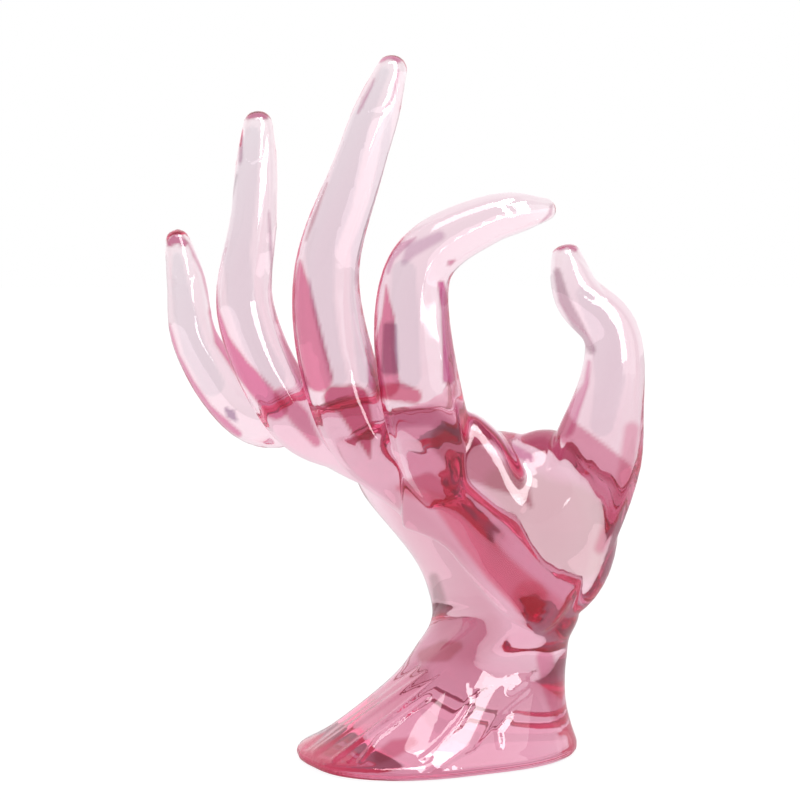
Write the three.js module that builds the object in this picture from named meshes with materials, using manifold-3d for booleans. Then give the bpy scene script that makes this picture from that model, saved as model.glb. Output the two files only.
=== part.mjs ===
// Hand ring stand: an open left hand of clear pink cast resin, standing on its flared forearm.
// Millimetres, +Z up, +X towards the thumb, +Y away from the viewer who looks through the loop of
// thumb and index finger. The origin is the centre of the flat face that the stand rests on.
// The hand is modelled as the sections of the casting that a person would name. Each is a closed
// solid, and a thin parting line lies between neighbours.

import * as THREE from 'three';
import { mergeVertices } from 'three/addons/utils/BufferGeometryUtils.js';
import Module from 'manifold-3d';

const wasm = await Module();
wasm.setup();

// Lines between sections
const partingLine = 0.3;

// How finely the surfaces are divided
const sidesOfTrunk = 32;
const sidesOfDigit = 18;
const rowSpacing = 3.4;
const domeRows = 4;
const weldDistance = 0.0001;

// Foot: a flat oval with a low upright rim
const footWidth = 66.5;
const footDepth = 52.5;
const rimHeight = 2.8;
const rimRounding = 0.9;
const footTurn = 27;

// Wrist: the narrowest place, an oval too
const wristHeight = 26;
const wristOffset = 13;
const wristWidth = 35.5;
const wristDepth = 29.5;
const wristTurn = 25;
const wristBelow = 9;
const wristAbove = 8;
const footTop = wristHeight - wristBelow;
const wristTop = wristHeight + wristAbove;

// The flare between them: each row gives how far the foot's sizes have gone over to the wrist's
const flareRows = [
  { rise: 0.223, width: 0.23, depth: 0.28, offset: 0.19, turn: 0.2 },
  { rise: 0.492, width: 0.6, depth: 0.63, offset: 0.5, turn: 0.5 },
  { rise: 0.769, width: 0.87, depth: 0.91, offset: 0.81, turn: 0.8 },
];

// Palm: its length runs from the wrist up to the knuckles, its breadth along the knuckles.
// Places in the hand are shares of them from the wrist's centre: two of the breadth towards +X
// and +Y, then one of the length towards +Z. Each row runs from the edge under the index finger
// to the edge under the little finger, and its thickness is a share of the palm's.
const palmLength = 52;
const palmBreadth = 50;
const palmThickness = 24;
const palmRows = [
  { indexEdge: [0.32, -0.22, 0.2], littleEdge: [-0.2, 0.36, 0.16], thickness: 1.12 },
  { indexEdge: [0.05, -0.1, 0.5], littleEdge: [-0.28, 0.42, 0.4], thickness: 0.92 },
  { indexEdge: [-0.14, -0.02, 0.69], littleEdge: [-0.55, 0.5, 0.7], thickness: 0.82 },
  { indexEdge: [-0.22, -0.2, 0.9], littleEdge: [-0.69, 0.46, 0.855], thickness: 0.66 },
];
const knuckleThickness = 0.5;
const palmEndThickness = 0.375;
const palmEndBreadth = 0.9;
const knuckleRise = 2;
const edgeIntoFinger = 0.33;

// Digits: the root lies inside the palm, and the bones follow from the knuckle to the tip.
// The length runs from the knuckle to the tip and each bone takes a share of it. A bone leans from
// upright towards +X, and turns away from the viewer towards +Y, in degrees.
// The girth is the width at the knuckle. The widths and depths are shares of it at the root, at
// the knuckle, and then in the middle and at the end of each bone.
const tipLength = 0.14;
const lastTipRow = 0.985;

const thumb = {
  name: 'thumb',
  root: [0.3, -0.13, 0.327],
  knuckle: [0.48, -0.24, 0.913],
  length: 51.5,
  girth: 21.5,
  bones: [
    { share: 0.534, lean: 6.4, away: -2.5 },
    { share: 0.233, lean: -41, away: 4 },
    { share: 0.233, lean: -16, away: 4.5 },
  ],
  wide: [0.9, 0.98, 0.72, 0.6, 0.58, 0.52, 0.42, 0.28],
  deep: [0.75, 0.8, 0.744, 0.698, 0.674, 0.628, 0.535, 0.372],
  partedAt: 0.26,
};

const indexFinger = {
  name: 'index_finger',
  root: [-0.08, -0.14, 0.577],
  knuckle: [-0.29, -0.26, 1],
  length: 73,
  girth: 19.5,
  bones: [
    { share: 0.523, lean: -3.8, away: -3.5 },
    { share: 0.256, lean: 54.5, away: 6.5 },
    { share: 0.227, lean: 80, away: 10 },
  ],
  wide: [0.821, 0.96, 0.93, 0.78, 0.67, 0.58, 0.47, 0.226],
  deep: [0.821, 0.872, 0.821, 0.744, 0.692, 0.641, 0.59, 0.385],
  partedAt: 0.34,
};

const middleFinger = {
  name: 'middle_finger',
  root: [-0.3, -0.02, 0.673],
  knuckle: [-0.61, -0.02, 1],
  length: 90,
  girth: 18.5,
  bones: [
    { share: 0.391, lean: -13.2, away: -5 },
    { share: 0.318, lean: 15.8, away: -2 },
    { share: 0.291, lean: 19.2, away: 0 },
  ],
  wide: [0.757, 1, 0.96, 0.84, 0.741, 0.64, 0.57, 0.345],
  deep: [0.757, 0.892, 0.838, 0.784, 0.73, 0.649, 0.568, 0.378],
  partedAt: 0.38,
};

const ringFinger = {
  name: 'ring_finger',
  root: [-0.54, 0.14, 0.86],
  knuckle: [-0.89, 0.2, 1],
  length: 77,
  girth: 15.5,
  bones: [
    { share: 0.377, lean: -27.2, away: 0 },
    { share: 0.305, lean: 5, away: -2.5 },
    { share: 0.318, lean: 3, away: -2.5 },
  ],
  wide: [0.774, 0.97, 0.94, 0.9, 0.8, 0.71, 0.632, 0.41],
  deep: [0.774, 1, 0.935, 0.871, 0.839, 0.742, 0.645, 0.452],
  partedAt: 0.36,
};

const littleFinger = {
  name: 'little_finger',
  root: [-0.7, 0.32, 1.03],
  knuckle: [-1.09, 0.42, 0.978],
  length: 52.5,
  girth: 12.6,
  bones: [
    { share: 0.462, lean: -40.5, away: 2 },
    { share: 0.298, lean: -9, away: -3.5 },
    { share: 0.24, lean: -11.5, away: -4.5 },
  ],
  wide: [0.5, 1.03, 1.04, 0.905, 0.841, 0.75, 0.6, 0.4],
  deep: [0.6, 1.071, 0.992, 0.913, 0.873, 0.794, 0.675, 0.437],
  partedAt: 0.36,
};

const digits = [thumb, indexFinger, middleFinger, ringFinger, littleFinger];

// The web of skin between the index finger and the thumb, from the finger's base to the thumb's.
// Each row has its top edge, and as shares the height of its bottom and its thickness.
const web = {
  thickness: 20,
  rows: [
    { top: [-0.42, -0.1, 0.94], bottom: 0.56, thickness: 0.7 },
    { top: [-0.24, -0.2, 1.038], bottom: 0.5, thickness: 0.72 },
    { top: [-0.11, -0.2, 1.09], bottom: 0.36, thickness: 0.9 },
    { top: [0.03, -0.2, 0.995], bottom: 0.22, thickness: 1 },
    { top: [0.16, -0.2, 0.84], bottom: 0.12, thickness: 1 },
    { top: [0.29, -0.2, 0.91], bottom: 0.14, thickness: 1 },
    { top: [0.43, -0.2, 1.019], bottom: 0.34, thickness: 0.8 },
  ],
};

// The pads of the palm below the fingers, from the little finger to the index finger
const pads = {
  thickness: 24,
  rows: [
    { top: [-1.06, 0.48, 1.06], bottom: 0.92, thickness: 0.38 },
    { top: [-0.88, 0.36, 1.1], bottom: 0.83, thickness: 0.62 },
    { top: [-0.62, 0.2, 1.115], bottom: 0.72, thickness: 0.85 },
    { top: [-0.34, 0.04, 1.115], bottom: 0.65, thickness: 0.95 },
    { top: [-0.08, -0.08, 0.99], bottom: 0.62, thickness: 0.5 },
  ],
};

// The soft mounds of the palm: the ball of the thumb, the muscle of the web beside it, and the
// mound on the little finger's side
const mounds = [
  { centre: [0.25, -0.12, 0.56], width: 34, depth: 25, height: 46 },
  { centre: [-0.02, -0.06, 0.73], width: 44, depth: 24, height: 27 },
  { centre: [-0.18, 0.22, 0.46], width: 16, depth: 20, height: 30 },
];

function inHand([acrossShare, awayShare, upShare]) {
  return new THREE.Vector3(
    wristOffset + acrossShare * palmBreadth,
    awayShare * palmBreadth,
    wristHeight + upShare * palmLength,
  );
}

function directionOf(bone) {
  const lean = THREE.MathUtils.degToRad(bone.lean);
  const away = THREE.MathUtils.degToRad(bone.away);
  return new THREE.Vector3(
    Math.sin(lean) * Math.cos(away),
    Math.sin(away),
    Math.cos(lean) * Math.cos(away),
  );
}

// A section is an oval: its centre and two half axes.
function pointsOfSection(section, sides) {
  const points = [];
  for (let i = 0; i < sides; i += 1) {
    const angle = (i / sides) * 2 * Math.PI;
    points.push(
      section.centre
        .clone()
        .addScaledVector(section.across, Math.cos(angle))
        .addScaledVector(section.through, Math.sin(angle)),
    );
  }
  return points;
}

// A closed body through a row of sections, with a fan of triangles over each end
function loft(sections, sides) {
  const positions = [];
  for (const section of sections) {
    for (const point of pointsOfSection(section, sides)) {
      positions.push(point.x, point.y, point.z);
    }
  }
  const first = sections[0].centre;
  const last = sections[sections.length - 1].centre;
  positions.push(first.x, first.y, first.z, last.x, last.y, last.z);
  const startCentre = sections.length * sides;
  const endCentre = startCentre + 1;

  const faces = [];
  for (let i = 0; i < sides; i += 1) {
    const next = (i + 1) % sides;
    faces.push(startCentre, next, i);
    for (let row = 0; row < sections.length - 1; row += 1) {
      const lower = row * sides;
      const upper = lower + sides;
      faces.push(lower + i, lower + next, upper + i);
      faces.push(lower + next, upper + next, upper + i);
    }
    const top = (sections.length - 1) * sides;
    faces.push(endCentre, top + i, top + next);
  }
  const geometry = new THREE.BufferGeometry();
  geometry.setAttribute('position', new THREE.Float32BufferAttribute(positions, 3));
  geometry.setIndex(faces);
  return geometry;
}

function solidOf(geometry) {
  const merged = mergeVertices(geometry, weldDistance);
  return new wasm.Manifold(
    new wasm.Mesh({
      numProp: 3,
      vertProperties: new Float32Array(merged.attributes.position.array),
      triVerts: new Uint32Array(merged.index.array),
    }),
  );
}

function geometryOf(solid) {
  const mesh = solid.getMesh();
  const geometry = new THREE.BufferGeometry();
  geometry.setAttribute('position', new THREE.BufferAttribute(mesh.vertProperties, 3));
  geometry.setIndex(new THREE.BufferAttribute(mesh.triVerts, 1));
  return geometry;
}

// A value from a list, at a place between its entries, on a smooth curve through them
function smoothValue(values, place) {
  const lower = Math.min(Math.floor(place), values.length - 2);
  const part = place - lower;
  const before = values[Math.max(lower - 1, 0)];
  const start = values[lower];
  const end = values[lower + 1];
  const after = values[Math.min(lower + 2, values.length - 1)];
  const slopeIn = (end - before) / 2;
  const slopeOut = (after - start) / 2;
  const cube = part ** 3;
  const square = part ** 2;
  return (
    (2 * cube - 3 * square + 1) * start +
    (cube - 2 * square + part) * slopeIn +
    (3 * square - 2 * cube) * end +
    (cube - square) * slopeOut
  );
}

// The middle line of a digit, through its root, its joints and its tip
function middleLine(digit) {
  const joints = [inHand(digit.root), inHand(digit.knuckle)];
  for (const bone of digit.bones) {
    const start = joints[joints.length - 1];
    joints.push(start.clone().addScaledVector(directionOf(bone), bone.share * digit.length));
  }
  return new THREE.CatmullRomCurve3(joints, false, 'centripetal');
}

// Places along a digit count bones: -1 at its root, 0 at its knuckle, 1 at the next joint.
function sectionOfDigit(digit, line, place, grow) {
  const stretches = digit.bones.length + 1;
  const along = line.getPoint((place + 1) / stretches);
  const heading = line.getTangent((place + 1) / stretches);
  const across = new THREE.Vector3(0, 1, 0).cross(heading).normalize();
  const through = heading.clone().cross(across).normalize();
  const tipStart = digit.bones.length - tipLength;
  const girthPlace = place < 0 ? place + 1 : 1 + Math.min(place, tipStart) * 2;
  const dome = place > tipStart ? Math.sqrt(Math.max(0, 1 - ((place - tipStart) / tipLength) ** 2)) : 1;
  const halfGirth = (digit.girth / 2) * dome;
  return {
    centre: along,
    across: across.multiplyScalar(smoothValue(digit.wide, girthPlace) * halfGirth + grow),
    through: through.multiplyScalar(smoothValue(digit.deep, girthPlace) * halfGirth + grow),
  };
}

function solidOfDigit(digit, from, to, grow) {
  const line = middleLine(digit);
  const end = digit.bones.length;
  const tipStart = end - tipLength;
  const bodyEnd = Math.min(to, tipStart);
  const length = line.getLength() * ((bodyEnd - from) / (end + 1));
  const rows = Math.max(2, Math.round(length / rowSpacing));
  const sections = [];
  for (let row = 0; row <= rows; row += 1) {
    const place = from + ((bodyEnd - from) * row) / rows;
    sections.push(sectionOfDigit(digit, line, place, grow));
  }
  if (to > tipStart) {
    for (let row = 1; row < domeRows; row += 1) {
      const place = tipStart + tipLength * Math.sin((row / domeRows) * (Math.PI / 2));
      sections.push(sectionOfDigit(digit, line, place, grow));
    }
    sections.push({
      ...sectionOfDigit(digit, line, tipStart + tipLength * lastTipRow, grow),
      centre: line.getPoint(1),
    });
  }
  return solidOf(loft(sections, sidesOfDigit));
}

// The share of the first bone's length that the parting line takes up
function partingShare(digit) {
  return partingLine / (digit.bones[0].share * digit.length);
}

// The trunk is the foot, the wrist and the palm, from the flat face up to the knuckles.
function levelSection({ height, width, depth, offset, turn }) {
  const angle = THREE.MathUtils.degToRad(turn);
  return {
    centre: new THREE.Vector3(offset, 0, height),
    across: new THREE.Vector3(Math.cos(angle), Math.sin(angle), 0).multiplyScalar(width / 2),
    through: new THREE.Vector3(-Math.sin(angle), Math.cos(angle), 0).multiplyScalar(depth / 2),
  };
}

const wristSection = levelSection({
  height: wristHeight,
  width: wristWidth,
  depth: wristDepth,
  offset: wristOffset,
  turn: wristTurn,
});

function flareSection(row) {
  return levelSection({
    height: wristHeight * row.rise,
    width: THREE.MathUtils.lerp(footWidth, wristWidth, row.width),
    depth: THREE.MathUtils.lerp(footDepth, wristDepth, row.depth),
    offset: wristOffset * row.offset,
    turn: THREE.MathUtils.lerp(footTurn, wristTurn, row.turn),
  });
}

function palmSections() {
  const indexSide = inHand(indexFinger.knuckle);
  const littleSide = inHand(littleFinger.knuckle);
  const outwards = littleSide.clone().sub(indexSide).normalize();
  const indexReach = indexFinger.deep[1] * indexFinger.girth * edgeIntoFinger;
  const littleReach = littleFinger.deep[1] * littleFinger.girth * edgeIntoFinger;
  const rows = palmRows.map((row) => ({
    indexEdge: inHand(row.indexEdge),
    littleEdge: inHand(row.littleEdge),
    thickness: row.thickness,
  }));
  rows.push({
    indexEdge: indexSide.addScaledVector(outwards, -indexReach),
    littleEdge: littleSide.addScaledVector(outwards, littleReach),
    thickness: knuckleThickness,
  });
  const centres = rows.map((row) => row.indexEdge.clone().lerp(row.littleEdge, 0.5));
  const sections = rows.map((row, i) => {
    const through = row.littleEdge.clone().sub(row.indexEdge).multiplyScalar(0.5);
    const before = i === 0 ? wristSection.centre : centres[i - 1];
    const after = centres[Math.min(i + 1, rows.length - 1)];
    const heading = after.clone().sub(before).normalize();
    const across = through.clone().cross(heading).normalize();
    across.multiplyScalar((row.thickness * palmThickness) / 2);
    return { centre: centres[i], across, through };
  });
  const last = sections[sections.length - 1];
  const previous = sections[sections.length - 2];
  const onwards = last.centre.clone().sub(previous.centre).normalize();
  sections.push({
    centre: last.centre.clone().addScaledVector(onwards, knuckleRise),
    across: last.across.clone().setLength((palmEndThickness * palmThickness) / 2),
    through: last.through.clone().multiplyScalar(palmEndBreadth),
  });
  return sections;
}

function blendSections(sections, place) {
  const pick = (part, axis) => smoothValue(sections.map((section) => section[part][axis]), place);
  const read = (part) => new THREE.Vector3(pick(part, 'x'), pick(part, 'y'), pick(part, 'z'));
  return { centre: read('centre'), across: read('across'), through: read('through') };
}

// The given rows, with smooth sections between them about one row spacing apart
function betweenRows(rows) {
  const sections = [];
  for (let i = 0; i < rows.length - 1; i += 1) {
    const gap = rows[i].centre.distanceTo(rows[i + 1].centre);
    const steps = Math.max(1, Math.round(gap / rowSpacing));
    for (let step = 0; step < steps; step += 1) {
      sections.push(blendSections(rows, i + step / steps));
    }
  }
  sections.push(rows[rows.length - 1]);
  return sections;
}

function solidOfTrunk() {
  const base = { width: footWidth, depth: footDepth, offset: 0, turn: footTurn };
  const face = { ...base, width: footWidth - 2 * rimRounding, depth: footDepth - 2 * rimRounding };
  const rim = levelSection({ ...base, height: rimHeight });
  const rows = [rim, ...flareRows.map(flareSection), wristSection, ...palmSections()];
  const sections = [
    levelSection({ ...face, height: 0 }),
    levelSection({ ...base, height: rimRounding }),
    ...betweenRows(rows),
  ];
  return solidOf(loft(sections, sidesOfTrunk));
}

function solidOfRidge(ridge) {
  const rows = ridge.rows.map((row) => {
    const top = inHand(row.top);
    const bottom = inHand([row.top[0], row.top[1], row.bottom]);
    return {
      centre: top.clone().lerp(bottom, 0.5),
      across: bottom.clone().sub(top).multiplyScalar(0.5),
      through: new THREE.Vector3(0, (row.thickness * ridge.thickness) / 2, 0),
    };
  });
  return solidOf(loft(betweenRows(rows), sidesOfDigit));
}

function solidOfMound(mound) {
  const ball = new THREE.SphereGeometry(0.5, sidesOfDigit, sidesOfDigit / 2);
  ball.deleteAttribute('normal');
  ball.deleteAttribute('uv');
  ball.rotateX(Math.PI / 2);
  ball.scale(mound.width, mound.depth, mound.height);
  ball.translate(...inHand(mound.centre).toArray());
  return solidOf(ball);
}

// The part of a solid between two heights
function sliceOf(solid, bottom, top) {
  return solid.trimByPlane([0, 0, 1], bottom).trimByPlane([0, 0, -1], -top);
}

const resin = new THREE.MeshStandardMaterial({ color: 0xe3a9bd, roughness: 0.05, metalness: 0 });
const object = new THREE.Group();

function addSection(name, solid) {
  const mesh = new THREE.Mesh(geometryOf(solid), resin.clone());
  mesh.name = name;
  object.add(mesh);
}

let hand = solidOfTrunk().add(solidOfRidge(web)).add(solidOfRidge(pads));
for (const mound of mounds) {
  hand = hand.add(solidOfMound(mound));
}
for (const digit of digits) {
  hand = hand.add(solidOfDigit(digit, -1, digit.partedAt, 0));
}
for (const digit of digits) {
  hand = hand.subtract(solidOfDigit(digit, digit.partedAt, digit.bones.length, partingLine));
}

const handTop = hand.boundingBox().max[2];
addSection('foot', sliceOf(hand, -partingLine, footTop));
addSection('wrist', sliceOf(hand, footTop + partingLine, wristTop));
addSection('palm', sliceOf(hand, wristTop + partingLine, handTop + partingLine));

for (const digit of digits) {
  const start = digit.partedAt + partingShare(digit);
  addSection(digit.name, solidOfDigit(digit, start, digit.bones.length, 0));
}

export default object;
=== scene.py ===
# Hand ring stand: an open left hand cast in one piece of clear pink resin, on its flared forearm.
import math

import bpy
import numpy
from mathutils import Matrix, Vector


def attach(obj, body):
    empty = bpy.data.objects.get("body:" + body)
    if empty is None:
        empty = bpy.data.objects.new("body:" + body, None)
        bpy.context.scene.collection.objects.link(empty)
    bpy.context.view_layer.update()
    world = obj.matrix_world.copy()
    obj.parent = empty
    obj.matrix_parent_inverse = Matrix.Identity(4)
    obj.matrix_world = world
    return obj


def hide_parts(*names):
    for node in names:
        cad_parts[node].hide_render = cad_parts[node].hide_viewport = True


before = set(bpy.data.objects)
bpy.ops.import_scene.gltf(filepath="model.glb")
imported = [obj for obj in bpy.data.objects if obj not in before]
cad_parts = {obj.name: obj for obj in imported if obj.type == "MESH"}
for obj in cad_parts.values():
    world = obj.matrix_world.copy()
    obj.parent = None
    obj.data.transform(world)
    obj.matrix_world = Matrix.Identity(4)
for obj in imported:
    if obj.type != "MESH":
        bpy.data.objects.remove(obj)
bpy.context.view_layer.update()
mm = 0.001
print("frame loaded")


def deselectAll():
    bpy.ops.object.select_all(action="DESELECT")


def selectOnly(*objects):
    deselectAll()
    for item in objects:
        item.select_set(True)
    bpy.context.view_layer.objects.active = objects[0]


def linearColour(hexValue):
    channels = []
    for start in (0, 2, 4):
        value = int(hexValue[start : start + 2], 16) / 255
        channels.append(value / 12.92 if value <= 0.04045 else ((value + 0.055) / 1.055) ** 2.4)
    return (*channels, 1)


# Sockets are given by name, or by number where a node has several of one name
def addNode(tree, kind, settings=None, links=None):
    node = tree.nodes.new(kind)
    for name, value in (settings or {}).items():
        if isinstance(name, int) or name in node.inputs:
            node.inputs[name].default_value = value
        else:
            setattr(node, name, value)
    for name, source in (links or {}).items():
        tree.links.new(source, node.inputs[name])
    return node


# A value from a list, at a place between its entries, on a smooth curve through them
def smoothValue(values, place):
    lower = min(int(math.floor(place)), len(values) - 2)
    part = place - lower
    before, start = values[max(lower - 1, 0)], values[lower]
    end, after = values[lower + 1], values[min(lower + 2, len(values) - 1)]
    slopeIn, slopeOut = (end - before) / 2, (after - start) / 2
    square, cube = part * part, part**3
    return (
        (2 * cube - 3 * square + 1) * start
        + (cube - 2 * square + part) * slopeIn
        + (3 * square - 2 * cube) * end
        + (cube - square) * slopeOut
    )


# A ring has its centre, and its half sizes across and through the limb as vectors
def ringFrame(ring):
    across, through = ring["across"].normalized(), ring["through"].normalized()
    return Matrix((across, through, across.cross(through))).transposed()


# A limb starts from a face of half size 1: from where on a point is at its corner, and how near
# points are merged
growing = {"corner": 0.99, "merge": 0.001}


# Rounds the two corners of the starting face on one side: 1 makes that side a half circle, and
# few segments make facets
def roundCorners(face, side, rounding, segments):
    bpy.ops.object.mode_set(mode="EDIT")
    bpy.ops.mesh.select_all(action="DESELECT")
    bpy.ops.object.mode_set(mode="OBJECT")
    for vertex in face.data.vertices:
        x, y = abs(vertex.co.x), vertex.co.y * side
        vertex.select = min(x, y) > growing["corner"]
    bpy.ops.object.mode_set(mode="EDIT")
    bpy.ops.mesh.bevel(offset=rounding, segments=segments, affect="VERTICES")
    bpy.ops.object.mode_set(mode="OBJECT")


# Grows a limb as by hand: a face with rounded corners, then extrude, turn and resize for each ring
def growLimb(name, rings, front, back):
    deselectAll()
    first = rings[0]
    place, rotation = first["centre"], ringFrame(first).to_euler()
    bpy.ops.mesh.primitive_plane_add(size=2, location=place, rotation=rotation)
    limb = bpy.context.object
    limb.name = name
    bpy.context.tool_settings.mesh_select_mode = (True, False, False)
    roundCorners(limb, -1, *front)
    roundCorners(limb, 1, *back)
    bpy.ops.object.mode_set(mode="EDIT")
    bpy.ops.mesh.select_all(action="SELECT")
    bpy.ops.mesh.remove_doubles(threshold=growing["merge"])
    resizeRing(first, (first["across"].length, first["through"].length))
    for previous, ring in zip(rings, rings[1:]):
        step = ring["centre"] - previous["centre"]
        bpy.ops.mesh.extrude_region_move(TRANSFORM_OT_translate={"value": step})
        turn = (ringFrame(ring) @ ringFrame(previous).transposed()).to_euler("XYZ")
        for axis, angle in zip("XYZ", turn):
            # without a window the operator turns the other way
            bpy.ops.transform.rotate(
                value=-angle,
                orient_axis=axis,
                orient_type="GLOBAL",
                center_override=ring["centre"],
            )
        growth = (
            ring["across"].length / previous["across"].length,
            ring["through"].length / previous["through"].length,
        )
        resizeRing(ring, growth)
    bpy.ops.mesh.select_all(action="SELECT")
    bpy.ops.mesh.normals_make_consistent(inside=False)
    bpy.ops.object.mode_set(mode="OBJECT")
    bpy.ops.object.transform_apply(location=True, rotation=True, scale=True)
    return limb


def resizeRing(ring, sizes):
    bpy.ops.transform.resize(
        value=(sizes[0], sizes[1], 1),
        orient_type="GLOBAL",
        orient_matrix=ringFrame(ring),
        orient_matrix_type="GLOBAL",
        center_override=ring["centre"],
    )


# How round the corners of each kind of limb are, and in how many segments. The fronts of the digits
# have two, for the flat faces that catch the light.
profile = {
    "digitFront": (0.8, 2),
    "digitBack": (1, 9),
    "trunkFront": (0.8, 9),
    "trunkBack": (0.9, 9),
    "ridgeFront": (0.7, 9),
    "ridgeBack": (0.8, 9),
}

# The camera of the photograph: a long lens, a little above the middle of the hand, looking down.
# Its picture is 800 pixels wide and high.
camera = {
    "lens": 135.55,
    "sensor": 36,
    "place": (-8.41, -700, 162),
    "pitch": 83.657,
    "nearest": 10,
    "picture": 800,
}


def makeCamera():
    place = Vector(camera["place"]) * mm
    bpy.ops.object.camera_add(location=place, rotation=(math.radians(camera["pitch"]), 0, 0))
    made = bpy.context.object
    made.data.lens = camera["lens"]
    made.data.sensor_width = camera["sensor"]
    made.data.clip_start = camera["nearest"] * mm
    bpy.context.scene.camera = made
    print("camera placed")


# Main sizes of the hand in millimetres. Places in it are shares of the palm's breadth towards +X
# and +Y and of its length towards +Z, from the middle of the wrist.
hand = {
    "wristHeight": 26,
    "wristOffset": 13,
    "wristWidth": 35.5,
    "wristDepth": 29.5,
    "wristTurn": 25,
    "palmLength": 52,
    "palmBreadth": 50,
    "palmThickness": 24,
    "ringSpacing": 2.2,
}


def inHand(shares):
    return Vector(
        (
            hand["wristOffset"] + shares[0] * hand["palmBreadth"],
            shares[1] * hand["palmBreadth"],
            hand["wristHeight"] + shares[2] * hand["palmLength"],
        )
    )


# Bones lean from upright towards +X and turn away towards +Y, in degrees. Widths and depths are
# shares of the girth at the root, at the knuckle, and in the middle and at the end of each bone.
digits = {
    "thumb": {
        "root": (0.3, -0.13, 0.327),
        "knuckle": (0.48, -0.24, 0.913),
        "length": 51.5,
        "girth": 21.5,
        "bones": ((0.534, 6.4, -2.5), (0.233, -41, 4), (0.233, -16, 4.5)),
        "wide": (0.9, 0.98, 0.72, 0.6, 0.58, 0.52, 0.42, 0.28),
        "deep": (0.75, 0.8, 0.744, 0.698, 0.674, 0.628, 0.535, 0.372),
    },
    "indexFinger": {
        "root": (-0.08, -0.14, 0.577),
        "knuckle": (-0.29, -0.26, 1),
        "length": 73,
        "girth": 19.5,
        "bones": ((0.523, -3.8, -3.5), (0.256, 54.5, 6.5), (0.227, 80, 10)),
        "wide": (0.821, 0.96, 0.93, 0.78, 0.67, 0.58, 0.47, 0.226),
        "deep": (0.821, 0.872, 0.821, 0.744, 0.692, 0.641, 0.59, 0.385),
    },
    "middleFinger": {
        "root": (-0.3, -0.02, 0.673),
        "knuckle": (-0.61, -0.02, 1),
        "length": 90,
        "girth": 18.5,
        "bones": ((0.391, -13.2, -5), (0.318, 15.8, -2), (0.291, 19.2, 0)),
        "wide": (0.757, 1, 0.96, 0.84, 0.741, 0.64, 0.57, 0.345),
        "deep": (0.757, 0.892, 0.838, 0.784, 0.73, 0.649, 0.568, 0.378),
    },
    "ringFinger": {
        "root": (-0.54, 0.14, 0.86),
        "knuckle": (-0.89, 0.2, 1),
        "length": 77,
        "girth": 15.5,
        "bones": ((0.377, -27.2, 0), (0.305, 5, -2.5), (0.318, 3, -2.5)),
        "wide": (0.774, 0.97, 0.94, 0.9, 0.8, 0.71, 0.632, 0.41),
        "deep": (0.774, 1, 0.935, 0.871, 0.839, 0.742, 0.645, 0.452),
    },
    "littleFinger": {
        "root": (-0.7, 0.32, 1.03),
        "knuckle": (-1.09, 0.42, 0.978),
        "length": 52.5,
        "girth": 12.6,
        "bones": ((0.462, -40.5, 2), (0.298, -9, -3.5), (0.24, -11.5, -4.5)),
        "wide": (0.5, 1.03, 1.04, 0.905, 0.841, 0.75, 0.6, 0.4),
        "deep": (0.6, 1.071, 0.992, 0.913, 0.873, 0.794, 0.675, 0.437),
    },
}

# The dome of a fingertip: its length as a share of a bone, its rows, and how far from the very tip
# its last ring stays. A root adds about 20 mm to the length of a digit, and a ring's heading is
# taken over a short step to each side.
tip = {"length": 0.14, "rows": 6, "rest": 0.001}
rootLength = 20
lineStep = 0.01


def jointsOfDigit(digit):
    joints = [inHand(digit["root"]), inHand(digit["knuckle"])]
    for share, lean, away in digit["bones"]:
        lean, away = math.radians(lean), math.radians(away)
        heading = Vector(
            (math.sin(lean) * math.cos(away), math.sin(away), math.cos(lean) * math.cos(away))
        )
        joints.append(joints[-1] + heading * share * digit["length"])
    return joints


# A point on the smooth line through the joints, whose speed evens out between short and long bones
def pointOnLine(joints, place):
    index = min(int(math.floor(place)), len(joints) - 2)
    weight = place - index
    p1, p2 = joints[index], joints[index + 1]
    p0 = joints[index - 1] if index > 0 else p1 * 2 - p2
    p3 = joints[index + 2] if index + 2 < len(joints) else p2 * 2 - p1
    spans = ((p0, p1), (p1, p2), (p2, p3))
    d0, d1, d2 = [math.sqrt((end - start).length) for start, end in spans]
    m1 = ((p1 - p0) / d0 - (p2 - p0) / (d0 + d1) + (p2 - p1) / d1) * d1
    m2 = ((p2 - p1) / d1 - (p3 - p1) / (d1 + d2) + (p3 - p2) / d2) * d1
    square, cube = weight * weight, weight**3
    return (
        p1 * (2 * cube - 3 * square + 1)
        + m1 * (cube - 2 * square + weight)
        + p2 * (3 * square - 2 * cube)
        + m2 * (cube - square)
    )


def ringsOfDigit(digit):
    joints = jointsOfDigit(digit)
    bones = len(digit["bones"])
    tipStart = bones - tip["length"]
    count = round((digit["length"] + rootLength) / hand["ringSpacing"])
    places = [-1 + (tipStart + 1) * i / count for i in range(count + 1)]
    for i in range(1, tip["rows"]):
        places.append(tipStart + tip["length"] * math.sin(i / tip["rows"] * math.pi / 2))
    places.append(bones - tip["rest"])
    rings = []
    for place in places:
        centre = pointOnLine(joints, place + 1)
        ahead = pointOnLine(joints, min(place + 1 + lineStep, bones + 1))
        behind = pointOnLine(joints, max(place + 1 - lineStep, 0))
        heading = (ahead - behind).normalized()
        across = Vector((0, 1, 0)).cross(heading).normalized()
        through = heading.cross(across)
        girthPlace = place + 1 if place < 0 else 1 + min(place, tipStart) * 2
        dome = 1
        if place > tipStart:
            dome = math.sqrt(1 - ((place - tipStart) / tip["length"]) ** 2)
        half = digit["girth"] / 2 * dome
        rings.append(
            {
                "centre": centre * mm,
                "across": across * smoothValue(digit["wide"], girthPlace) * half * mm,
                "through": through * smoothValue(digit["deep"], girthPlace) * half * mm,
            }
        )
    return rings


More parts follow.
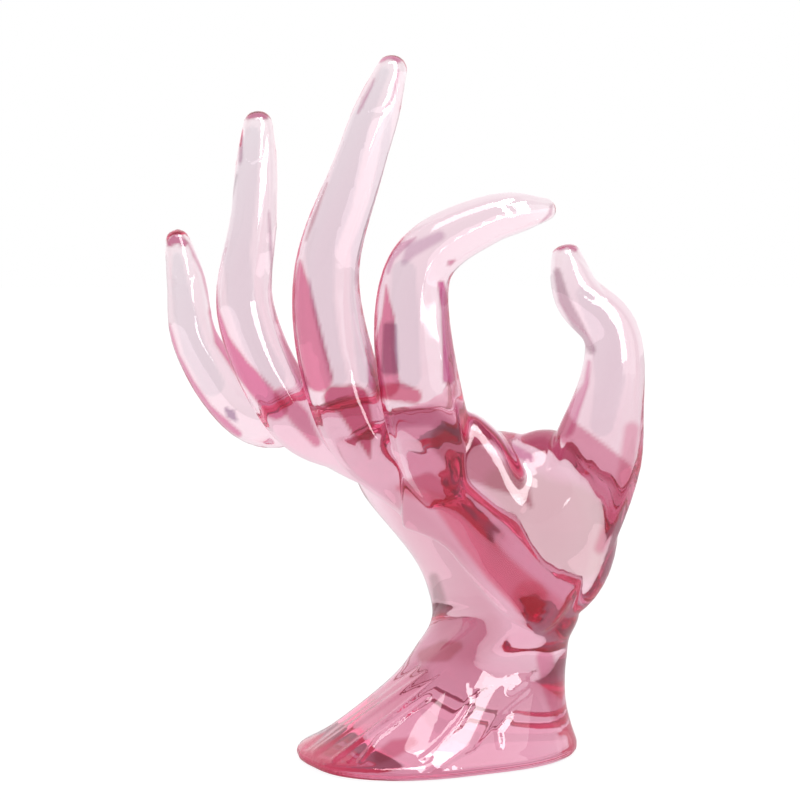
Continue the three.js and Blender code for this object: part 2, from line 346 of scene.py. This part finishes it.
# The foot: a flat oval with a low upright rim, under a flare. Each row of the flare gives its
# height as a share of the wrist's, and how far its width, depth, offset and turn have gone over to
# the wrist's.
foot = {
    "width": 66.5,
    "depth": 51.8,
    "rimHeight": 2.8,
    "rimRounding": 0.9,
    "turn": 27,
    "flare": (
        (0.223, 0.23, 0.28, 0.19, 0.2),
        (0.492, 0.6, 0.63, 0.5, 0.5),
        (0.769, 0.87, 0.91, 0.81, 0.8),
    ),
}

# The palm: each row runs from the edge under the index finger to the one under the little finger,
# with its thickness as a share of the palm's. The last row lies in the fingers' knuckles.
palm = {
    "rows": (
        ((0.32, -0.22, 0.2), (-0.2, 0.36, 0.16), 1.12),
        ((0.05, -0.1, 0.5), (-0.28, 0.42, 0.4), 0.92),
        ((-0.14, -0.02, 0.69), (-0.55, 0.5, 0.7), 0.82),
        ((-0.22, -0.2, 0.9), (-0.69, 0.46, 0.855), 0.66),
    ),
    "knuckleThickness": 0.5,
    "endThickness": 0.375,
    "endBreadth": 0.9,
    "knuckleRise": 2,
    "edgeIntoFinger": 0.33,
}


def levelRing(height, width, depth, offset, turn):
    turn = math.radians(turn)
    return {
        "centre": Vector((offset, 0, height)),
        "across": Vector((math.cos(turn), math.sin(turn), 0)) * width / 2,
        "through": Vector((-math.sin(turn), math.cos(turn), 0)) * depth / 2,
    }


def palmRings(wristRing):
    indexFinger, littleFinger = digits["indexFinger"], digits["littleFinger"]
    indexSide, littleSide = inHand(indexFinger["knuckle"]), inHand(littleFinger["knuckle"])
    outwards = (littleSide - indexSide).normalized()
    reach = palm["edgeIntoFinger"]
    rows = [(inHand(row[0]), inHand(row[1]), row[2]) for row in palm["rows"]]
    rows.append(
        (
            indexSide - outwards * indexFinger["deep"][1] * indexFinger["girth"] * reach,
            littleSide + outwards * littleFinger["deep"][1] * littleFinger["girth"] * reach,
            palm["knuckleThickness"],
        )
    )
    centres = [(row[0] + row[1]) / 2 for row in rows]
    rings = []
    for i, (indexEdge, littleEdge, thickness) in enumerate(rows):
        through = (littleEdge - indexEdge) / 2
        before = wristRing["centre"] if i == 0 else centres[i - 1]
        heading = (centres[min(i + 1, len(rows) - 1)] - before).normalized()
        across = through.cross(heading).normalized() * thickness * hand["palmThickness"] / 2
        rings.append({"centre": centres[i], "across": across, "through": through})
    last, previous = rings[-1], rings[-2]
    onwards = (last["centre"] - previous["centre"]).normalized()
    endThickness = palm["endThickness"] * hand["palmThickness"]
    rings.append(
        {
            "centre": last["centre"] + onwards * palm["knuckleRise"],
            "across": last["across"].normalized() * endThickness / 2,
            "through": last["through"] * palm["endBreadth"],
        }
    )
    return rings


# Rings between the given ones, on smooth curves, about one ring spacing apart
def fillRings(rings):
    filled = []
    for i in range(len(rings) - 1):
        gap = (rings[i]["centre"] - rings[i + 1]["centre"]).length
        steps = max(1, round(gap / hand["ringSpacing"]))
        for step in range(steps):
            place = i + step / steps
            ring = {}
            for part in ("centre", "across", "through"):
                columns = [smoothValue([r[part][axis] for r in rings], place) for axis in range(3)]
                ring[part] = Vector(columns)
            filled.append(ring)
    filled.append(rings[-1])
    return filled


# The ring in metres, with its second direction set square to the first
def squareRing(ring):
    across = ring["across"]
    heading = across.cross(ring["through"]).normalized()
    through = heading.cross(across).normalized() * ring["through"].length
    return {"centre": ring["centre"] * mm, "across": across * mm, "through": through * mm}


def growTrunk():
    base = (foot["width"], foot["depth"], 0, foot["turn"])
    rounding = foot["rimRounding"]
    face = (foot["width"] - 2 * rounding, foot["depth"] - 2 * rounding, 0, foot["turn"])
    wristRing = levelRing(
        hand["wristHeight"],
        hand["wristWidth"],
        hand["wristDepth"],
        hand["wristOffset"],
        hand["wristTurn"],
    )
    rings = [levelRing(foot["rimHeight"], *base)]
    for rise, width, depth, offset, turn in foot["flare"]:
        rings.append(
            levelRing(
                hand["wristHeight"] * rise,
                foot["width"] + (hand["wristWidth"] - foot["width"]) * width,
                foot["depth"] + (hand["wristDepth"] - foot["depth"]) * depth,
                hand["wristOffset"] * offset,
                foot["turn"] + (hand["wristTurn"] - foot["turn"]) * turn,
            )
        )
    rings += [wristRing, *palmRings(wristRing)]
    allRings = [levelRing(0, *face), levelRing(rounding, *base), *fillRings(rings)]
    rings = [squareRing(ring) for ring in allRings]
    return growLimb("trunk", rings, profile["trunkFront"], profile["trunkBack"])


# Two ridges: the pads of the palm below the fingers, and the web of skin between index finger and
# thumb. Rows: a place on the top edge, the height of the bottom, and the share of the thickness.
pads = {
    "thickness": 24,
    "rows": (
        ((-1.06, 0.48, 1.06), 0.92, 0.38),
        ((-0.88, 0.36, 1.1), 0.83, 0.62),
        ((-0.62, 0.2, 1.115), 0.72, 0.85),
        ((-0.34, 0.04, 1.115), 0.65, 0.95),
        ((-0.08, -0.08, 0.99), 0.62, 0.5),
    ),
}
web = {
    "thickness": 20,
    "rows": (
        ((-0.42, -0.1, 0.94), 0.56, 0.7),
        ((-0.24, -0.2, 1.038), 0.5, 0.72),
        ((-0.11, -0.2, 1.09), 0.36, 0.9),
        ((0.03, -0.2, 0.995), 0.22, 1),
        ((0.16, -0.2, 0.84), 0.12, 1),
        ((0.29, -0.2, 0.91), 0.14, 1),
        ((0.43, -0.2, 1.019), 0.34, 0.8),
    ),
}


def growRidge(name, ridge):
    rings = []
    for place, bottom, thickness in ridge["rows"]:
        top = inHand(place)
        low = inHand((place[0], place[1], bottom))
        rings.append(
            {
                "centre": (top + low) / 2,
                "across": (low - top) / 2,
                "through": Vector((0, thickness * ridge["thickness"] / 2, 0)),
            }
        )
    rings = [squareRing(ring) for ring in fillRings(rings)]
    return growLimb(name, rings, profile["ridgeFront"], profile["ridgeBack"])


# The soft mounds of the palm: the ball of the thumb, and those below the little finger and the web
mounds = {
    "thumbMound": {"centre": (0.25, -0.12, 0.56), "size": (34, 25, 46)},
    "littleFingerMound": {"centre": (-0.18, 0.22, 0.46), "size": (16, 20, 30)},
    "webMound": {"centre": (-0.02, -0.06, 0.73), "size": (44, 24, 27)},
}
ballRows = 20


def makeMound(name, mound):
    deselectAll()
    bpy.ops.mesh.primitive_uv_sphere_add(segments=ballRows * 2, ring_count=ballRows, radius=0.5)
    ball = bpy.context.object
    ball.name = name
    ball.scale = Vector(mound["size"]) * mm
    ball.location = inHand(mound["centre"]) * mm
    bpy.ops.object.transform_apply(location=True, rotation=True, scale=True)
    return ball


# The cast surface: voxels of 0.68 mm are about the finest that keep it under 200,000 triangles
skin = {"voxel": 0.68, "smoothing": 14, "factor": 0.5}


def makeHand():
    parts = [growTrunk(), growRidge("web", web), growRidge("pads", pads)]
    parts += [makeMound(name, mound) for name, mound in mounds.items()]
    for name, digit in digits.items():
        rings = ringsOfDigit(digit)
        parts.append(growLimb(name, rings, profile["digitFront"], profile["digitBack"]))
    print("limbs grown", [len(part.data.vertices) for part in parts])
    selectOnly(*parts)
    bpy.ops.object.join()
    made = bpy.context.object
    made.name = "castHand"
    made.data.name = "castHand"
    remesh = made.modifiers.new("oneSkin", "REMESH")
    remesh.mode = "VOXEL"
    remesh.voxel_size = skin["voxel"] * mm
    bpy.ops.object.modifier_apply(modifier=remesh.name)
    smooth = made.modifiers.new("softened", "SMOOTH")
    smooth.factor = skin["factor"]
    smooth.iterations = skin["smoothing"]
    bpy.ops.object.modifier_apply(modifier=smooth.name)
    bpy.ops.object.shade_smooth()
    print("skin made", len(made.data.polygons))
    layStrokes(made)
    return made


# Strokes laid on the side towards the camera. Each has the width of its soft edge in pixels
# and its points in the picture, as x, y and half width. They fade where the surface turns away from
# the camera, below the given cosine.
strokeFade = 0.3

# Shallow relief, by its height in millimetres: first the folds and flow marks of the foot
relief = (
    (0.5, 3, ((446, 672, 1), (386, 720, 2), (334, 760, 2))),
    (0.5, 3, ((428, 698, 1), (378, 738, 2), (360, 762, 1))),
    (0.4, 4, ((426, 674, 2), (372, 712, 3), (316, 752, 3))),
    (-0.3, 4, ((418, 664, 2), (360, 706, 3), (306, 748, 2))),
    (0.4, 3, ((464, 684, 1), (470, 706, 2), (458, 726, 2), (424, 758, 2))),
    (0.5, 5, ((520, 686, 10), (488, 704, 16), (462, 738, 16), (436, 762, 8))),
    (0.3, 3, ((536, 672, 2), (510, 690, 4))),
    (-0.4, 4, ((508, 716, 3), (498, 730, 3), (500, 746, 2))),
    # cloudy wrist
    (0.35, 16, ((500, 620, 10), (545, 640, 12))),
    # nail folds
    (-0.4, 3, ((372, 84, 1), (361, 104, 1), (366, 114, 1), (380, 113, 1), (392, 104, 1),
               (398, 84, 1))),
    (-0.35, 3, ((243, 130, 1), (241, 158, 1), (252, 167, 1), (264, 160, 1), (267, 132, 1))),
    (-0.3, 3, ((173, 254, 1), (172, 276, 1), (182, 285, 1), (193, 277, 1), (192, 254, 1))),
    (-0.35, 3, ((574, 252, 1), (592, 270, 1), (606, 294, 1), (596, 302, 1), (578, 290, 1))),
    (-0.35, 3, ((552, 202, 1), (524, 197, 1), (502, 204, 1), (514, 214, 1))),
)

# Painted shade, by its colour: tints that stand in for darker and greyer reflections inside the
# casting
paintedShade = (
    # painted grey shade on the faces of the fingers, on both sides of their bright streaks
    ("E2E8EA", 3, ((384, 72, 5), (361, 120, 10), (346, 170, 13), (337, 205, 15), (320, 250, 15),
                   (322, 300, 12), (331, 352, 10), (337, 376, 10))),
    ("E2E8EA", 3, ((389, 115, 3), (382, 170, 6), (374, 205, 6), (359, 250, 8), (358, 300, 8),
                   (363, 352, 8), (366, 376, 8))),
    ("E2E8EA", 3, ((404, 272, 12), (404, 300, 14), (405, 340, 15), (407, 376, 14))),
    ("E2E8EA", 3, ((252, 134, 8), (249, 160, 10), (243, 200, 13), (236, 250, 14), (241, 300, 14),
                   (256, 345, 13), (274, 376, 12))),
    ("E2E8EA", 3, ((177, 258, 5), (179, 280, 8), (184, 310, 11), (195, 350, 12), (212, 384, 12))),
    ("E6EAEC", 3, ((584, 294, 8), (604, 330, 14), (610, 380, 15), (602, 424, 12))),
    # index finger: painted shade on both flanks, the knuckle in its middle, and the tip
    ("D0587C", 3, ((386, 286, 1), (387, 304, 4), (388, 318, 7), (384, 350, 11), (386, 384, 14))),
    ("94708C", 3, ((387, 326, 4), (386, 370, 5), (394, 370, 5), (393, 326, 4), (387, 326, 4))),
    ("A83A6C", 3, ((441, 284, 4), (446, 310, 5), (448, 340, 6), (449, 378, 7))),
    ("C890AE", 3, ((388, 272, 2), (392, 258, 3), (402, 246, 4), (416, 238, 1))),
    ("C9AFC4", 5, ((404, 262, 3), (412, 250, 7), (440, 236, 5))),
    ("B8607F", 3, ((450, 263, 3), (455, 260, 1))),
    ("C49AAC", 3, ((552, 204, 1), (550, 214, 2), (540, 224, 1))),
    # middle finger: painted shade on flanks, edge lines, nail fold and tip
    ("D0587C", 4, ((300, 262, 2), (301, 285, 8), (305, 314, 11), (312, 350, 13), (319, 378, 14))),
    ("C27A9C", 3, ((309, 280, 1), (316, 316, 2), (325, 352, 2), (332, 378, 1))),
    ("B4688E", 4, ((358, 276, 1), (364, 306, 3), (371, 340, 5), (376, 384, 8))),
    ("A87A86", 3, ((327, 183, 1), (313, 220, 2), (306, 240, 1))),
    ("D086A6", 3, ((394, 56, 1), (398, 72, 2), (394, 96, 1), (385, 110, 1))),
    ("C98CA8", 3, ((374, 80, 1), (364, 100, 2), (358, 113, 1))),
    ("C4608A", 3, ((380, 61, 2), (389, 55, 4), (399, 60, 3))),
    # ring finger: painted shade
    ("A8486A", 3, ((248, 116, 4), (256, 112, 6), (265, 116, 4))),
    ("B595A8", 3, ((241, 138, 2), (240, 162, 2))),
    ("9C8E96", 3, ((237, 174, 1), (231, 198, 2), (226, 230, 1))),
    ("B292A4", 3, ((269, 212, 1), (271, 250, 2), (274, 290, 2), (275, 322, 1))),
    ("C8507C", 4, ((215, 286, 2), (214, 312, 6), (222, 340, 8), (240, 366, 9), (276, 408, 12))),
    ("CC80A4", 4, ((280, 336, 1), (293, 362, 5), (304, 386, 6))),
    # little finger: painted shade
    ("A8486A", 3, ((170, 243, 4), (177, 238, 6), (184, 243, 4))),
    ("CC84A0", 3, ((188, 242, 1), (203, 274, 2), (212, 312, 2))),
    ("CC6890", 4, ((168, 326, 3), (174, 356, 6), (188, 384, 7), (206, 410, 7), (238, 434, 4))),
    ("8C7490", 3, ((226, 409, 2), (231, 414, 5), (236, 420, 2))),
    # thumb: painted shade
    ("B4587C", 3, ((560, 248, 3), (567, 244, 4), (575, 249, 3))),
    ("A78E9A", 4, ((557, 272, 4), (564, 300, 6), (578, 326, 6), (592, 350, 4))),
    ("CE7C9E", 4, ((589, 362, 2), (586, 384, 3), (574, 408, 7), (564, 426, 12))),
    # painted shade below the fingers
    ("A83050", 4, ((336, 398, 13), (352, 402, 18), (362, 428, 12), (370, 458, 1))),
    ("C24C68", 4, ((380, 392, 8), (400, 392, 10), (414, 396, 8))),
    ("C08EA6", 6, ((392, 420, 9), (430, 416, 10), (455, 430, 6))),
    ("C46A88", 5, ((282, 396, 9), (300, 418, 10), (316, 442, 5))),
    ("CC7FA6", 4, ((458, 408, 5), (482, 427, 6), (505, 446, 6), (530, 458, 5))),
    ("B06E7C", 6, ((446, 440, 16), (466, 458, 20), (496, 474, 16), (522, 490, 8), (531, 506, 2))),
    ("D0788E", 5, ((405, 484, 4), (428, 482, 10), (452, 494, 8))),
    # the palm: painted shade for the dark band across it, its right edge and the thumb's base
    ("E88498", 7, ((399, 488, 3), (440, 502, 8), (474, 540, 14), (500, 570, 16), (530, 598, 18))),
    ("F0B0BC", 7, ((530, 598, 18), (560, 622, 18))),
    ("E09CB0", 8, ((632, 430, 8), (626, 470, 8), (616, 510, 8), (600, 548, 6))),
    ("E2E8D8", 16, ((500, 484, 16), (532, 502, 30), (566, 526, 44), (580, 556, 26))),
    ("CC7690", 5, ((556, 404, 5), (566, 430, 12), (596, 456, 15), (620, 474, 14))),
    ("E6D2D4", 20, ((400, 500, 16), (440, 560, 26), (470, 630, 34))),
    ("B4B4B0", 6, ((434, 578, 5), (440, 602, 7))),
    # painted shade on the wrist and the foot
    ("CC9A9C", 5, ((424, 656, 7), (444, 651, 11), (458, 646, 5))),
    ("DCB8C0", 10, ((330, 745, 12), (380, 705, 16), (420, 675, 10))),
    ("D07C92", 6, ((380, 757, 7), (395, 748, 9), (412, 742, 5))),
    ("D884A2", 6, ((545, 658, 9), (552, 690, 9), (560, 720, 6))),
)


# Where the camera sees each vertex in the picture, and how far the surface faces the camera there
def seenFromCamera(made):
    count = len(made.data.vertices)
    places, normals = numpy.empty(count * 3), numpy.empty(count * 3)
    made.data.vertices.foreach_get("co", places)
    made.data.vertices.foreach_get("normal", normals)
    away = places.reshape(-1, 3) - numpy.array(camera["place"]) * mm
    slant = -(normals.reshape(-1, 3) * away).sum(1) / numpy.linalg.norm(away, axis=1)
    facing = numpy.clip(slant / strokeFade, 0, 1)
    pitch = math.radians(90 - camera["pitch"])
    depth = away[:, 1] * math.cos(pitch) - away[:, 2] * math.sin(pitch)
    height = away[:, 1] * math.sin(pitch) + away[:, 2] * math.cos(pitch)
    scale = camera["picture"] * camera["lens"] / camera["sensor"]
    middle = camera["picture"] / 2
    seen = numpy.stack((middle + scale * away[:, 0] / depth, middle - scale * height / depth), 1)
    return places.reshape(-1, 3), normals.reshape(-1, 3), seen, facing


# How much each vertex lies in a stroke, from 1 inside to 0, on a smooth step about its edge
def shareOfStroke(seen, facing, edge, points):
    reach = numpy.full(len(seen), -numpy.inf)
    for start, end in zip(points, points[1:]):
        first, line = numpy.array(start[:2]), numpy.array(end[:2]) - numpy.array(start[:2])
        along = numpy.clip((seen - first) @ line / (line @ line), 0, 1)
        distance = numpy.linalg.norm(seen - first - along[:, None] * line, axis=1)
        reach = numpy.maximum(reach, start[2] + (end[2] - start[2]) * along - distance)
    share = numpy.clip(reach / edge + 0.5, 0, 1) * facing
    return (share * share * (3 - 2 * share))[:, None]


def layStrokes(made):
    places, normals, seen, facing = seenFromCamera(made)
    for height, edge, points in relief:
        places += shareOfStroke(seen, facing, edge, points) * normals * height * mm
    made.data.vertices.foreach_set("co", places.ravel())
    made.data.update()
    # Painted shade: the tints of the strokes multiply into a colour layer that darkens the resin
    shadeTint = numpy.ones((len(places), 4))
    for colour, edge, points in paintedShade:
        share = shareOfStroke(seen, facing, edge, points)
        shadeTint *= 1 - share * (1 - numpy.array(linearColour(colour)))
    layer = made.data.color_attributes.new("paintedShade", "FLOAT_COLOR", "POINT")
    layer.data.foreach_set("color", shadeTint.ravel())
    print("strokes laid")


# Polyester casting resin, dyed pink: clear and glossy, so its colour comes from the depth of resin
# that the light crosses. The renderer gives up light that has been reflected inside more than the
# given times, but from real resin it still gets out, so a faint glow takes its place.
resin = {
    "ior": 1.55,
    "roughness": 0.04,
    "dye": "E366A6",
    "density": 30,
    "reflections": 3,
    "trapped": "F0B8C4",
    "trappedStrength": 0.65,
}


def makeResin():
    material = bpy.data.materials.new("clearPinkCastResin")
    material.use_nodes = True
    tree = material.node_tree
    tree.nodes.clear()
    # The painted shade in the colour layer darkens the resin's base colour
    shadeTints = addNode(tree, "ShaderNodeVertexColor", {"layer_name": "paintedShade"})
    path = addNode(tree, "ShaderNodeLightPath")
    trapped = addNode(
        tree,
        "ShaderNodeMath",
        {"operation": "GREATER_THAN", 1: resin["reflections"]},
        {0: path.outputs["Glossy Depth"]},
    )
    glow = addNode(
        tree,
        "ShaderNodeMath",
        {"operation": "MULTIPLY", 1: resin["trappedStrength"]},
        {0: trapped.outputs[0]},
    )
    shader = addNode(
        tree,
        "ShaderNodeBsdfPrincipled",
        {
            "Roughness": resin["roughness"],
            "IOR": resin["ior"],
            "Transmission Weight": 1.0,
            "Emission Color": linearColour(resin["trapped"]),
        },
        {"Base Color": shadeTints.outputs[0], "Emission Strength": glow.outputs[0]},
    )
    volume = addNode(
        tree,
        "ShaderNodeVolumeAbsorption",
        {"Color": linearColour(resin["dye"]), "Density": resin["density"]},
    )
    addNode(
        tree,
        "ShaderNodeOutputMaterial",
        links={"Surface": shader.outputs["BSDF"], "Volume": volume.outputs["Volume"]},
    )
    return material


# The floor is a large white card, seen with little shadow. The world is bright towards the backdrop
# behind the hand and greyer beside and before it, which draws the casting's dark edges.
studio = {
    "floorColour": "F4F4F4",
    "floorSize": 3.0,
    "floorGap": 0.2,
    "shadowShare": 0.25,
    "glowInside": 1.1,
    "glowOutside": 0.1,
    "sideGrey": 0.52,
    "backdrop": 1.13,
    "backdropEdge": (0.15, 0.5),
}

# Softboxes that mirror in the outside of the casting: where each stands as seen from it, in degrees
# to the right of the camera and up, with its half width, half height and edge as sines
softboxes = {
    "right": {"turn": 36, "rise": 5, "half": (0.2, 0.9), "edge": 0.03, "radiance": 10},
    "top": {"turn": 15, "rise": 62, "half": (0.4, 0.16), "edge": 0.03, "radiance": 6},
}


# White paperboard: matt, and lit evenly enough to look white right up to the foot
def makeFloor():
    deselectAll()
    bpy.ops.mesh.primitive_plane_add(size=studio["floorSize"], location=(0, 0, 0))
    floor = bpy.context.object
    floor.name = "floor"
    floor.location.z = -studio["floorGap"] * mm
    bpy.ops.object.transform_apply(location=True, rotation=True, scale=True)
    material = bpy.data.materials.new("whiteCard")
    material.use_nodes = True
    tree = material.node_tree
    tree.nodes.clear()
    card = addNode(tree, "ShaderNodeBsdfDiffuse", {"Color": linearColour(studio["floorColour"])})
    path = addNode(tree, "ShaderNodeLightPath")
    strength = addNode(
        tree,
        "ShaderNodeMath",
        {"operation": "MULTIPLY_ADD", 1: studio["glowOutside"], 2: studio["glowInside"]},
        {0: path.outputs["Is Camera Ray"]},
    )
    glow = addNode(
        tree, "ShaderNodeEmission", {"Color": (1, 1, 1, 1)}, {"Strength": strength.outputs[0]}
    )
    seen = addNode(
        tree,
        "ShaderNodeMath",
        {"operation": "MAXIMUM"},
        {0: path.outputs["Is Camera Ray"], 1: path.outputs["Is Transmission Ray"]},
    )
    share = addNode(
        tree,
        "ShaderNodeMath",
        {"operation": "MULTIPLY", 1: 1 - studio["shadowShare"]},
        {0: seen.outputs[0]},
    )
    mix = addNode(
        tree,
        "ShaderNodeMixShader",
        links={0: share.outputs[0], 1: card.outputs[0], 2: glow.outputs[0]},
    )
    addNode(tree, "ShaderNodeOutputMaterial", links={"Surface": mix.outputs[0]})
    floor.data.materials.append(material)
    print("floor laid")


# The light that a softbox sends from a direction: its radiance inside its four edges, and none
# from behind
def glowOfSoftbox(tree, direction, softbox):
    turn, rise = math.radians(softbox["turn"]), math.radians(softbox["rise"])
    facing = Vector(
        (math.sin(turn) * math.cos(rise), -math.cos(turn) * math.cos(rise), math.sin(rise))
    )
    across = Vector((math.cos(turn), math.sin(turn), 0))
    ahead = addNode(
        tree, "ShaderNodeVectorMath", {"operation": "DOT_PRODUCT", 1: facing}, {0: direction}
    )
    front = addNode(
        tree, "ShaderNodeMath", {"operation": "GREATER_THAN", 1: 0}, {0: ahead.outputs["Value"]}
    )
    glow = addNode(
        tree,
        "ShaderNodeMath",
        {"operation": "MULTIPLY", 1: softbox["radiance"]},
        {0: front.outputs[0]},
    )
    for axis, half in zip((across, facing.cross(across)), softbox["half"]):
        along = addNode(
            tree, "ShaderNodeVectorMath", {"operation": "DOT_PRODUCT", 1: axis}, {0: direction}
        )
        size = addNode(
            tree, "ShaderNodeMath", {"operation": "ABSOLUTE"}, {0: along.outputs["Value"]}
        )
        edge = {
            "interpolation_type": "SMOOTHSTEP",
            "From Min": half,
            "From Max": half + softbox["edge"],
            "To Min": 1.0,
            "To Max": 0.0,
        }
        inside = addNode(tree, "ShaderNodeMapRange", edge, {"Value": size.outputs[0]})
        glow = addNode(
            tree,
            "ShaderNodeMath",
            {"operation": "MULTIPLY"},
            {0: glow.outputs[0], 1: inside.outputs["Result"]},
        )
    return glow.outputs[0]


def makeWorld():
    world = bpy.data.worlds.new("studio")
    bpy.context.scene.world = world
    world.use_nodes = True
    tree = world.node_tree
    tree.nodes.clear()
    coordinates = addNode(tree, "ShaderNodeTexCoord")
    direction = coordinates.outputs["Generated"]
    split = addNode(tree, "ShaderNodeSeparateXYZ", links={"Vector": direction})
    towardsBackdrop = addNode(
        tree,
        "ShaderNodeMapRange",
        {
            "interpolation_type": "SMOOTHSTEP",
            "From Min": studio["backdropEdge"][0],
            "From Max": studio["backdropEdge"][1],
            "To Min": studio["sideGrey"],
            "To Max": studio["backdrop"],
        },
        {"Value": split.outputs["Y"]},
    )
    path = addNode(tree, "ShaderNodeLightPath")
    unbroken = addNode(
        tree,
        "ShaderNodeMath",
        {"operation": "LESS_THAN", 1: 1},
        {0: path.outputs["Transmission Depth"]},
    )
    mirrored = addNode(
        tree,
        "ShaderNodeMath",
        {"operation": "MULTIPLY"},
        {0: unbroken.outputs[0], 1: path.outputs["Is Glossy Ray"]},
    )
    lit = towardsBackdrop.outputs["Result"]
    for softbox in softboxes.values():
        lit = addNode(
            tree,
            "ShaderNodeMath",
            {"operation": "MULTIPLY_ADD"},
            {0: glowOfSoftbox(tree, direction, softbox), 1: mirrored.outputs[0], 2: lit},
        ).outputs[0]
    lighting = addNode(tree, "ShaderNodeBackground", {"Strength": 1.0}, {"Color": lit})
    white = addNode(tree, "ShaderNodeBackground", {"Color": (1, 1, 1, 1), "Strength": 1.0})
    mix = addNode(
        tree,
        "ShaderNodeMixShader",
        links={0: path.outputs["Is Camera Ray"], 1: lighting.outputs[0], 2: white.outputs[0]},
    )
    addNode(tree, "ShaderNodeOutputWorld", links={"Surface": mix.outputs[0]})
    print("world lit")


# The lamp that really lights the scene, at its place and aimed at its target, sized in metres
lamps = {
    "softboxRight": {
        "place": (610, -510, 250),
        "target": (0, 0, 90),
        "size": (0.55, 1.1),
        "radiance": 1.5,
    },
}


def makeLamps():
    for name, lamp in lamps.items():
        data = bpy.data.lights.new(name, "AREA")
        data.shape = "RECTANGLE"
        data.size, data.size_y = lamp["size"]
        area = data.size * data.size_y
        data.energy = lamp["radiance"] * area * math.pi
        made = bpy.data.objects.new(name, data)
        bpy.context.collection.objects.link(made)
        place = Vector(lamp["place"]) * mm
        made.location = place
        aim = Vector(lamp["target"]) * mm - place
        made.rotation_euler = aim.to_track_quat("-Z", "Y").to_euler()
    print("lamp hung")


makeCamera()
castHand = makeHand()
castHand.data.materials.clear()
castHand.data.materials.append(makeResin())
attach(castHand, "root")
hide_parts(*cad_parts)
makeFloor()
makeWorld()
makeLamps()

scene = bpy.context.scene
scene.view_settings.view_transform = "Standard"
